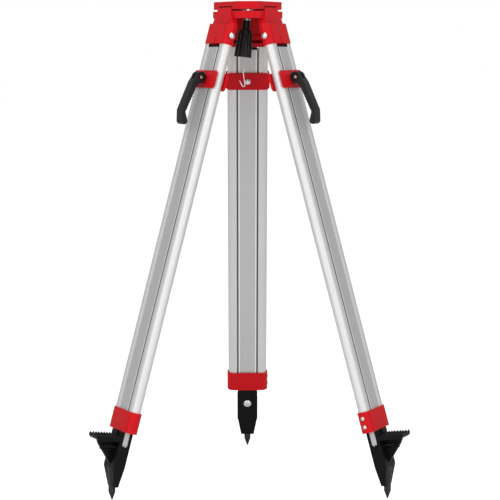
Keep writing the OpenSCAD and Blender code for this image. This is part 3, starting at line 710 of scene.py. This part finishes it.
# %% Head
for node, edge in (("head_plate", 1.1 * MM), ("head_body", 1.2 * MM)):
    print(node, dress(node, "casting", edge, POWDER_COAT), "faces")
print("pads", dress("head_spacers", "moulding", 0.4 * MM, FOOT_NYLON), "faces")
for node in ("plate_screws", "arm_pivot", "hinge_bolts", "hinge_nuts", "swing_arm",
             "screw_carrier", "screw_washer"):
    print(node, dress(node, "plated", 0.35 * MM, ZINC), "faces")
print("bush", dress("ball_bush", "turned", 0.3 * MM, BLACK_STEEL), "faces")

# %% [markdown]
# ## Leg castings, clamps and caps
#
# The shoulder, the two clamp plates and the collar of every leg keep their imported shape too.
# A loop over the three sides dresses them alike, with a bevel that suits each: wide on the
# thick shoulder, narrow on the thin collar.

# %% Red pieces, caps and pins of each leg
for side in SIDES:
    for part, edge in (("shoulder", 1.2 * MM), ("collar", 0.7 * MM),
                       ("clamp_inner_plate", 0.9 * MM), ("clamp_outer_plate", 0.9 * MM)):
        dress(f"{side}_{part}", "casting", edge, POWDER_COAT)
    dress(side + "_top_cap", "moulding", 0.6 * MM, FOOT_NYLON)
    for part in ("collar_rivets", "clamp_bolt", "lever_pin", "foot_rivet"):
        dress(f"{side}_{part}", "plated", 0.3 * MM, ZINC)
    dress(side + "_spike", "turned", 0.3 * MM, BLACK_STEEL)
    dress(side + "_inner_leg", "extrusion", 0.35 * MM, PANEL_METAL, LEG[side])
    for part in ("rail_a", "rail_b"):
        dress(f"{side}_{part}", "extrusion", 0.35 * MM, RAIL_METAL, LEG[side])
    dress(side + "_foot", "moulding", 0.45 * MM, FOOT_NYLON)
    print(side, "leg dressed")

# %% [markdown]
# ## Clamp levers
#
# A moulded lever is a shell, cored out so that it cools without sinking. Its hub has six shallow
# pockets between spokes on either face, and cross ribs stiffen the open channel of its arm.
# The pockets are cut with a Boolean after the edges are rounded, so that they stay crisp, and
# the ribs are plain bars that end inside the shell's walls.

# %% Helpers for blocks and pockets
ARC_STEPS = 8


def block(bm, centre, size, tilt=0):
    """A box in a leg's axes, in mm, tilted about the line across the leg."""
    place = (Matrix.Translation(Vector(centre) * MM) @ Matrix.Rotation(tilt, 4, "Y")
             @ Matrix.Diagonal((*(c * MM for c in size), 1)))
    bmesh.ops.create_cube(bm, size=1, matrix=place)


def sector(bm, hub, inner, outer, start, end, near, far):
    """A closed piece of a thick ring about a line across the leg."""
    arc = [start + (end - start) * i / ARC_STEPS for i in range(ARC_STEPS + 1)]
    outline = [(outer, a) for a in arc] + [(inner, a) for a in reversed(arc)]
    rows = [[bm.verts.new((hub.x + r * cos(a) * MM, y * MM, hub.z + r * sin(a) * MM))
             for r, a in outline] for y in (near, far)]
    bm.faces.new(rows[0])
    bm.faces.new(list(reversed(rows[1])))
    for i in range(len(outline)):
        k = (i + 1) % len(outline)
        bm.faces.new((rows[0][k], rows[0][i], rows[1][i], rows[1][k]))


def finish_blocks(name, bm, axes, edge):
    bmesh.ops.recalc_face_normals(bm, faces=bm.faces)
    bmesh.ops.transform(bm, matrix=axes, verts=bm.verts)
    mesh = bpy.data.meshes.new(name)
    bm.to_mesh(mesh)
    bm.free()
    piece = show(name, mesh)
    return round_edges(piece, edge) if edge else piece


def add_to(piece, body, material):
    """Gives an added piece its material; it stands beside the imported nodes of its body."""
    piece.data.materials.clear()
    piece.data.materials.append(material)
    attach(piece, body)


# %% Levers
LEVER_HALF, POCKET_DEPTH = 12.0, 1.6
POCKET_IN, POCKET_OUT, SPOKES = 5.6, 10.6, 6
SPOKE_HALF = radians(9)
CUTTER_SPARE = 2  # how far a cutter stands out of the lever's face
LEVER_EDGE = 1.1 * MM
RIB_COUNT, RIB_SIZE, RIB_EDGE = 7, (10.0, 16.6, 1.5), 0.25 * MM
FIRST_RIB, LAST_RIB = Vector((9.5, 0, -33)), Vector((17.5, 0, -76))  # from the hub, in mm


def cut_pockets(piece, side, hub):
    bm = bmesh.new()
    for face in (-1, 1):
        for i in range(SPOKES):
            start = tau * i / SPOKES + SPOKE_HALF
            end = tau * (i + 1) / SPOKES - SPOKE_HALF
            near, far = sorted(face * out for out in (
                LEVER_HALF - POCKET_DEPTH, LEVER_HALF + CUTTER_SPARE))
            sector(bm, hub, POCKET_IN, POCKET_OUT, start, end, near, far)
    cutter = finish_blocks("pockets", bm, LEG[side], 0)
    cut = piece.modifiers.new("pockets", "BOOLEAN")
    cut.operation, cut.solver, cut.object = "DIFFERENCE", "EXACT", cutter
    settle(piece)
    bpy.data.objects.remove(cutter)


def lever_ribs(side, hub):
    bm = bmesh.new()
    lean = (LAST_RIB - FIRST_RIB).normalized()
    for i in range(RIB_COUNT):
        spot = FIRST_RIB.lerp(LAST_RIB, i / (RIB_COUNT - 1)) + hub / MM
        block(bm, spot, RIB_SIZE, sin(lean.x))
    return finish_blocks(side + "_lever_ribs", bm, LEG[side], RIB_EDGE)


for side in SIDES:
    low, high = span(side + "_lever_pin", LEG[side])
    hub = (low + high) / 2
    node = side + "_clamp_lever"
    lever = round_edges(clean_copy(node, node + "_moulding"), LEVER_EDGE)
    cut_pockets(lever, side, hub)
    put_on(lever, node, HAND_NYLON)
    add_to(lever_ribs(side, hub), side + "_lever", HAND_NYLON)
    print(side, "lever:", len(lever.data.polygons), "faces")

# %% [markdown]
# ## Foot teeth and ribs
#
# A boot pushes down on the treadle to drive the spike into the ground, so its top is covered
# in small points for grip. They repeat in rows and columns, which suits Geometry Nodes: a
# grid gives the places, and a four-sided cone is set on each. Raised ribs run down the foot's
# sides, and a column stands above the treadle, where the real moulding is thickened.

# %% Foot teeth and ribs
TREADLE_DOWN, TREADLE_FALL = 13.2, 7.3  # below the foot's top, in mm
TREADLE_ENDS = 9  # bare length left at the two ends of the teeth, together
TEETH_OUT, TEETH_SUNK = 1.5, 0.2
TOOTH_TIP = 0.6 * MM
MIDDLE_TEETH = {"Rows": 11, "Columns": 7, "Width": 30 * MM,
                "Tooth_width": 2.6 * MM, "Tooth_height": 2.6 * MM}
EDGE_TEETH = {"Rows": 8, "Columns": 2, "Width": 39 * MM,
              "Tooth_width": 3.3 * MM, "Tooth_height": 4.7 * MM}


def make_tooth_tree():
    tree, given, made = geometry_tree("treadle teeth", [
        ("Length", "Float"), ("Width", "Float"), ("Rows", "Int"), ("Columns", "Int"),
        ("Tooth width", "Float"), ("Tooth height", "Float")])
    grid = add_node(tree, "GeometryNodeMeshGrid", {
        "Size X": given["Length"], "Size Y": given["Width"],
        "Vertices X": given["Rows"], "Vertices Y": given["Columns"]})
    tooth = add_node(tree, "GeometryNodeMeshCone", {
        "Vertices": 4, "Radius Top": TOOTH_TIP, "Radius Bottom": given["Tooth width"],
        "Depth": given["Tooth height"]})
    teeth = add_node(tree, "GeometryNodeInstanceOnPoints", {
        "Points": grid.outputs[0], "Instance": tooth.outputs[0], "Rotation": (0, 0, pi / 4)})
    return end_tree(tree, given, made, teeth.outputs[0])


TOOTH_TREE = make_tooth_tree()


def treadle_teeth(side, front, top, tip):
    run, fall = tip - front, TREADLE_FALL
    teeth = [grow("teeth", TOOTH_TREE, FOOT_NYLON, Length=(run - TREADLE_ENDS) * MM, **sizes)
             for sizes in (MIDDLE_TEETH, EDGE_TEETH)]
    middle = Vector(((front + tip) / 2 + TEETH_OUT, 0, top - TREADLE_DOWN - fall / 2 - TEETH_SUNK))
    tilt = Matrix.Rotation(sin(fall / run), 4, "Y")
    return place_and_join(side + "_treadle_teeth", teeth,
                          LEG[side] @ Matrix.Translation(middle * MM) @ tilt)


COLUMN_OUT, COLUMN_DOWN, COLUMN_SIZE = 1.2, 6, (4, 13, 12)
SIDE_RIB_IN, SIDE_RIB_DOWN, SIDE_RIB_SIZE = 1.6, 50, (2.2, 1.6, 62)
SHORT_RIB_OUT, SHORT_RIB_DOWN, SHORT_RIB_SIZE = 1, 41, (2.0, 1.5, 20)
WEB_RIBS = ((24, 38), (33, 32))  # how far below the treadle each lies, and its length
WEB_RIB_ASIDE, WEB_RIB_WIDE, WEB_RIB_THICK, WEB_RIB_TILT = 4.4, 3.4, 2.0, 0.12
WEB_RIB_SUNK = 1
FOOT_RIB_EDGE = 0.4 * MM


def foot_ribs(side, high, front):
    top, half = high.z, high.y
    bm = bmesh.new()
    block(bm, (front + COLUMN_OUT, 0, top - COLUMN_DOWN), COLUMN_SIZE)
    for face in (-1, 1):
        for out in (front - SIDE_RIB_IN, -front + SIDE_RIB_IN):
            block(bm, (out, face * half, top - SIDE_RIB_DOWN), SIDE_RIB_SIZE)
        block(bm, (SHORT_RIB_OUT, face * half, top - SHORT_RIB_DOWN), SHORT_RIB_SIZE)
        for drop, reach in WEB_RIBS:
            centre = (front + reach / 2 - WEB_RIB_SUNK, face * WEB_RIB_ASIDE,
                      top - TREADLE_DOWN - drop)
            block(bm, centre, (reach, WEB_RIB_WIDE, WEB_RIB_THICK), WEB_RIB_TILT)
    return finish_blocks(side + "_foot_ribs", bm, LEG[side], FOOT_RIB_EDGE)


BLOCK_PROUD = 1.8  # how far the foot's block stands out past the rails

for side in SIDES:
    high = span(side + "_foot", LEG[side])[1] / MM
    front = span(side + "_rail_a", LEG[side])[1].x / MM + BLOCK_PROUD
    body = side + "_lower_leg"
    add_to(treadle_teeth(side, front, high.z, high.x), body, FOOT_NYLON)
    add_to(foot_ribs(side, high, front), body, FOOT_NYLON)
    print(side, "foot done")

# %% [markdown]
# ## Fixing screw and its thread
#
# The screw that holds the instrument is a 5/8 inch stud with eleven threads to the inch. A
# thread is one ridge on a helix, which is a rule, so Geometry Nodes draw it: a spiral curve
# carries a small triangle up the stud. The stud under it is a lathe shape, made from a list of
# radii and heights.

# %% Screw with its thread
STUD_LOW, STUD_TOP = -17.0, 18.4  # heights along the screw's own axis, in mm
THREAD_LOW, THREAD_PITCH = -15.0, 25.4 / 11
STUD_CORE, STUD_FULL, SHANK_ROUND, SHANK_LOW = 6.75, 7.94, 5.9, -61.0
TOOTH_ROUND = 0.75
THREAD_TURNS = (STUD_TOP - 1.6 - THREAD_LOW) / THREAD_PITCH
CLIP = [(9.2, 7.7), (9.3, 8.0), (9.3, 8.9), (9.2, 9.2)]  # the clip that rests on the bush
STUD_PROFILE = (
    [(SHANK_ROUND, SHANK_LOW), (SHANK_ROUND, STUD_LOW), (STUD_CORE, STUD_LOW + 0.6), (STUD_CORE, 7.6)]
    + CLIP
    + [(STUD_CORE, 9.3), (STUD_CORE, STUD_TOP - 0.9), (STUD_CORE - 1.1, STUD_TOP)])


def make_thread_tree():
    tree, given, made = geometry_tree("thread", [
        ("Turns", "Float"), ("Radius", "Float"), ("Height", "Float"), ("Tooth", "Float")])
    path = add_node(tree, "GeometryNodeCurveSpiral", {
        "Resolution": 40, "Rotations": given["Turns"], "Start Radius": given["Radius"],
        "End Radius": given["Radius"], "Height": given["Height"]})
    tooth = add_node(tree, "GeometryNodeCurvePrimitiveCircle", {
        "Resolution": 3, "Radius": given["Tooth"]})
    swept = add_node(tree, "GeometryNodeCurveToMesh", {
        "Curve": path.outputs[0], "Profile Curve": tooth.outputs[0], "Fill Caps": True})
    return end_tree(tree, given, made, swept.outputs[0])


stud = lathe("stud", STUD_PROFILE)
thread = grow("thread", make_thread_tree(), ZINC, Turns=THREAD_TURNS,
              Radius=(STUD_FULL - TOOTH_ROUND) * MM,
              Height=THREAD_TURNS * THREAD_PITCH * MM, Tooth=TOOTH_ROUND * MM)
thread.data.transform(Matrix.Translation((0, 0, THREAD_LOW * MM)))
screw = place_and_join("instrument_screw_threaded", [stud, thread], SCREW)
put_on(screw, "instrument_screw", ZINC)
print("screw:", round(THREAD_TURNS, 1), "turns,", len(screw.data.polygons), "faces")

# %% [markdown]
# ## Fluted knob
#
# The knob is turned by a gloved hand, so it flares downwards and has twelve flutes for the
# fingers. Its whole skin follows one formula: a radius for each height, less the depth of a
# round flute at each angle. The lathe helper takes that depth as a function. A shallow rounded
# rim closes the bottom round the well where the chain hangs.

# %% Knob
KNOB_TOP, FLUTE_TOP, KNOB_LOW = -21.9, -44.6, -104.6
KNOB_ROUND_LOW, KNOB_ROUND_HIGH, KNOB_STEPS, FLANK_ROWS = 20, 16.2, 288, 12
FLUTE_COUNT, FLUTE_ROUND, FLUTE_AWAY = 12, 3.0, 1.2
FLUTE_END, FLUTE_FADE = FLUTE_TOP - 1.5, 5.0  # the flutes run out over this height
FLUTE_LEAST = 14  # a narrower radius belongs to the well or the top end, which have no flutes


def flute_depth(turn, radius, height):
    if not KNOB_LOW - 1 < height < FLUTE_END or radius < FLUTE_LEAST:
        return 0
    step = tau / FLUTE_COUNT
    aside = radius * sin((turn + step / 2) % step - step / 2)
    if abs(aside) >= FLUTE_ROUND:
        return 0
    depth = max(0.0, sqrt(FLUTE_ROUND ** 2 - aside ** 2) - FLUTE_AWAY)
    fade = min(1.0, (FLUTE_END - height) / FLUTE_FADE)
    return depth * fade


def knob_profile():
    flank_top, flank_low = FLUTE_TOP - 3, 0.9
    narrowing = KNOB_ROUND_LOW - KNOB_ROUND_HIGH
    flank = [(KNOB_ROUND_LOW - narrowing * i / FLANK_ROWS,
              KNOB_LOW + flank_low + (flank_top - KNOB_LOW - flank_low) * i / FLANK_ROWS)
             for i in range(FLANK_ROWS + 1)]
    well_and_rim = [(0.2, 9), (7.9, 9), (8.0, 8.6), (8.0, 0.8), (8.6, 0), (18.4, 0), (19.5, 0.3)]
    shoulder = [(15.7, 1.2), (14.4, 2.4), (12.4, 3.6), (10.4, 4.4), (9.8, 5.4), (9.6, 9)]
    top_end = [(8.7, -0.5), (8.3, 0), (6.1, 0), (6.1, -0.5), (0.2, -0.6)]
    return ([(radius, KNOB_LOW + up) for radius, up in well_and_rim]
            + flank
            + [(radius, flank_top + up) for radius, up in shoulder]
            + [(radius, KNOB_TOP + up) for radius, up in top_end])


knob = lathe("knob", knob_profile(), KNOB_STEPS, flute_depth)
knob = place_and_join("screw_knob_fluted", [knob], SCREW)
put_on(knob, "screw_knob", HAND_NYLON)
print("knob:", len(knob.data.polygons), "faces")

# %% [markdown]
# ## Chain and plumb hook
#
# A short chain hangs from a bar in the knob's end, and a bent wire hook on it takes the cord
# of a plumb bob. A chain repeats, with every other link turned a quarter, so a geometry tree
# sets links along a line and turns them by their number. The hook is one wire along a path of
# points: a coiled eye, a long shank, a tight bend and a short arm that rises again.

# %% Chain links
LINK_COUNT, LINK_PITCH, LINK_ROUND, LINK_WIRE = 8, 4.2, 2.7, 0.55
LINK_SLIM = (0.72, 1, 1)  # a link is longer than it is wide
FIRST_LINK = 1.1  # the first link's centre below the bar
HOOK = axes_at(joints["hook_swing"]["pos_m"], Vector((0, 1, 0)), Vector((0, 0, 1)))


def make_chain_tree():
    tree, given, made = geometry_tree("chain", [
        ("Count", "Int"), ("First", "Vector"), ("Step", "Vector"), ("Radius", "Float"),
        ("Wire", "Float"), ("Slim", "Vector")])
    line = add_node(tree, "GeometryNodeMeshLine", {
        "Count": given["Count"], "Start Location": given["First"], "Offset": given["Step"]})
    ring = add_node(tree, "GeometryNodeCurvePrimitiveCircle", {
        "Resolution": 32, "Radius": given["Radius"]})
    upright = add_node(tree, "GeometryNodeTransform", {
        "Geometry": ring.outputs[0], "Rotation": (pi / 2, 0, 0), "Scale": given["Slim"]})
    wire = add_node(tree, "GeometryNodeCurvePrimitiveCircle", {
        "Resolution": 10, "Radius": given["Wire"]})
    link = add_node(tree, "GeometryNodeCurveToMesh", {
        "Curve": upright.outputs[0], "Profile Curve": wire.outputs[0]})
    odd = maths(tree, "MODULO", tree.nodes.new("GeometryNodeInputIndex").outputs[0], 2.0)
    turn = add_node(tree, "ShaderNodeCombineXYZ", {"Z": maths(tree, "MULTIPLY", odd, pi / 2)})
    chain = add_node(tree, "GeometryNodeInstanceOnPoints", {
        "Points": line.outputs[0], "Instance": link.outputs[0], "Rotation": turn.outputs[0]})
    return end_tree(tree, given, made, chain.outputs[0])


chain = grow("chain", make_chain_tree(), ZINC, Count=LINK_COUNT, First=(0, 0, -FIRST_LINK * MM),
             Step=(0, 0, -LINK_PITCH * MM), Radius=LINK_ROUND * MM, Wire=LINK_WIRE * MM,
             Slim=LINK_SLIM)
chain = place_and_join("hook_chain_links", [chain], HOOK)
put_on(chain, "hook_chain", ZINC)
print("chain:", LINK_COUNT, "links,", len(chain.data.polygons), "faces")

# %% Plumb hook
HOOK_WIRE, EYE_RING, EYE_DROP = 1.05, 3.4, 34.52
SHANK, BEND, BEND_TURN, ARM = 29.5, 3.0, radians(160), 14.0
EYE_TURNS, EYE_STEPS, EYE_ASIDE, BEND_STEPS = 1.55, 39, 0.9, 14
ARM_SHARES = (0.3, 0.65, 1.0)
TIP_TAPER = 0.5
HOOK_ASKEW = radians(7)  # bent wire never hangs quite straight


def hook_path():
    centre_low = EYE_DROP + EYE_RING + SHANK
    eye = []
    for i in range(EYE_STEPS + 1):
        turn = -pi / 2 + tau * EYE_TURNS * i / EYE_STEPS
        aside = EYE_ASIDE - 2 * EYE_ASIDE * i / EYE_STEPS
        eye.append((EYE_RING * cos(turn), aside, -EYE_DROP + EYE_RING * sin(turn)))
    eye.reverse()
    eye_low = -EYE_DROP - EYE_RING
    shank = [(0, EYE_ASIDE, eye_low - 1.6), (0, 0.3, eye_low - 6), (0, 0, -centre_low)]
    turns = [-BEND_TURN * i / BEND_STEPS for i in range(1, BEND_STEPS + 1)]
    bend = [(-BEND + BEND * cos(turn), 0, -centre_low + BEND * sin(turn)) for turn in turns]
    lean = pi - BEND_TURN
    x, _, z = bend[-1]
    rise = [(x - sin(lean) * ARM * k, 0, z + cos(lean) * ARM * k) for k in ARM_SHARES]
    askew = Matrix.Rotation(-HOOK_ASKEW, 3, "Y")
    centre = Vector((0, 0, -EYE_DROP))
    return [askew @ (Vector(point) - centre) + centre for point in eye + shank + bend + rise]


def sweep_wire(name, points, radius, taper_end=1):
    curve = bpy.data.curves.new(name, "CURVE")
    curve.dimensions = "3D"
    curve.bevel_depth = radius * MM
    curve.bevel_resolution = 4
    curve.use_fill_caps = True
    line = curve.splines.new("POLY")
    line.points.add(len(points) - 1)
    for i, point in enumerate(points):
        line.points[i].co = (*(c * MM for c in point), 1)
    line.points[-1].radius = taper_end
    piece = show(name, curve)
    bpy.context.view_layer.update()
    seen = piece.evaluated_get(bpy.context.evaluated_depsgraph_get())
    mesh = bpy.data.meshes.new_from_object(seen)
    bpy.data.objects.remove(piece)
    return show(name, mesh)


hook = sweep_wire("hook", hook_path(), HOOK_WIRE, TIP_TAPER)
hook = place_and_join("plumb_hook_wire", [hook], HOOK)
put_on(hook, "plumb_hook", ZINC)
print("hook:", len(hook.data.polygons), "faces")
